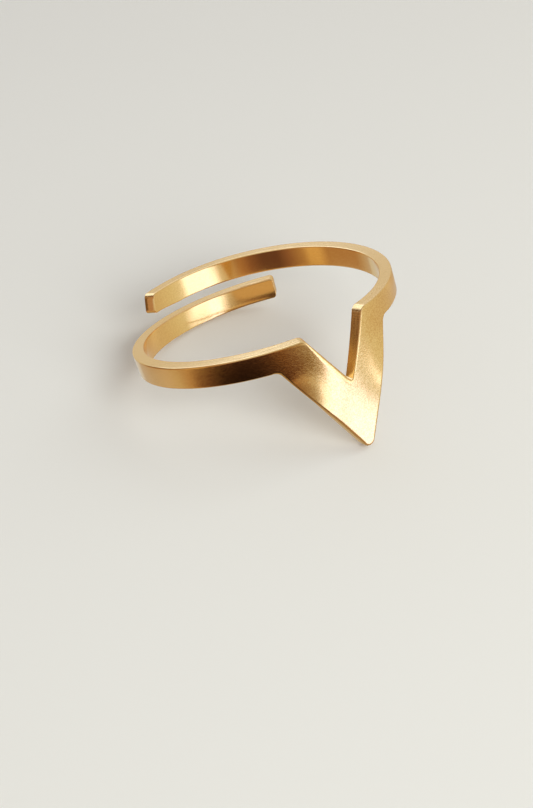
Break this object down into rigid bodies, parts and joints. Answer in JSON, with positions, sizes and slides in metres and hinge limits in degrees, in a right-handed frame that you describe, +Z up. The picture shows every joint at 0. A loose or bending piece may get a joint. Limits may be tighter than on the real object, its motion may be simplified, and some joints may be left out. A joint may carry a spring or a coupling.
{
  "type": "triangle ring",
  "caption": "Open adjustable finger ring cut from flat metal sheet: a narrow band with a deep chevron at the front, its arms passing each other side by side at the back.",
  "frame": {"origin": "on the surface that the ring lies on, under the middle of its box", "axes": "+Z up from that surface; the chevron faces -Y; +X is to the right of someone who faces the chevron"},
  "size_m": [0.0188, 0.0205, 0.0094],
  "materials": {
    "gold_metal": "satin"
  },
  "bodies": {
    "root": {"chevron_band": "gold_metal"}
  },
  "joints": []
}
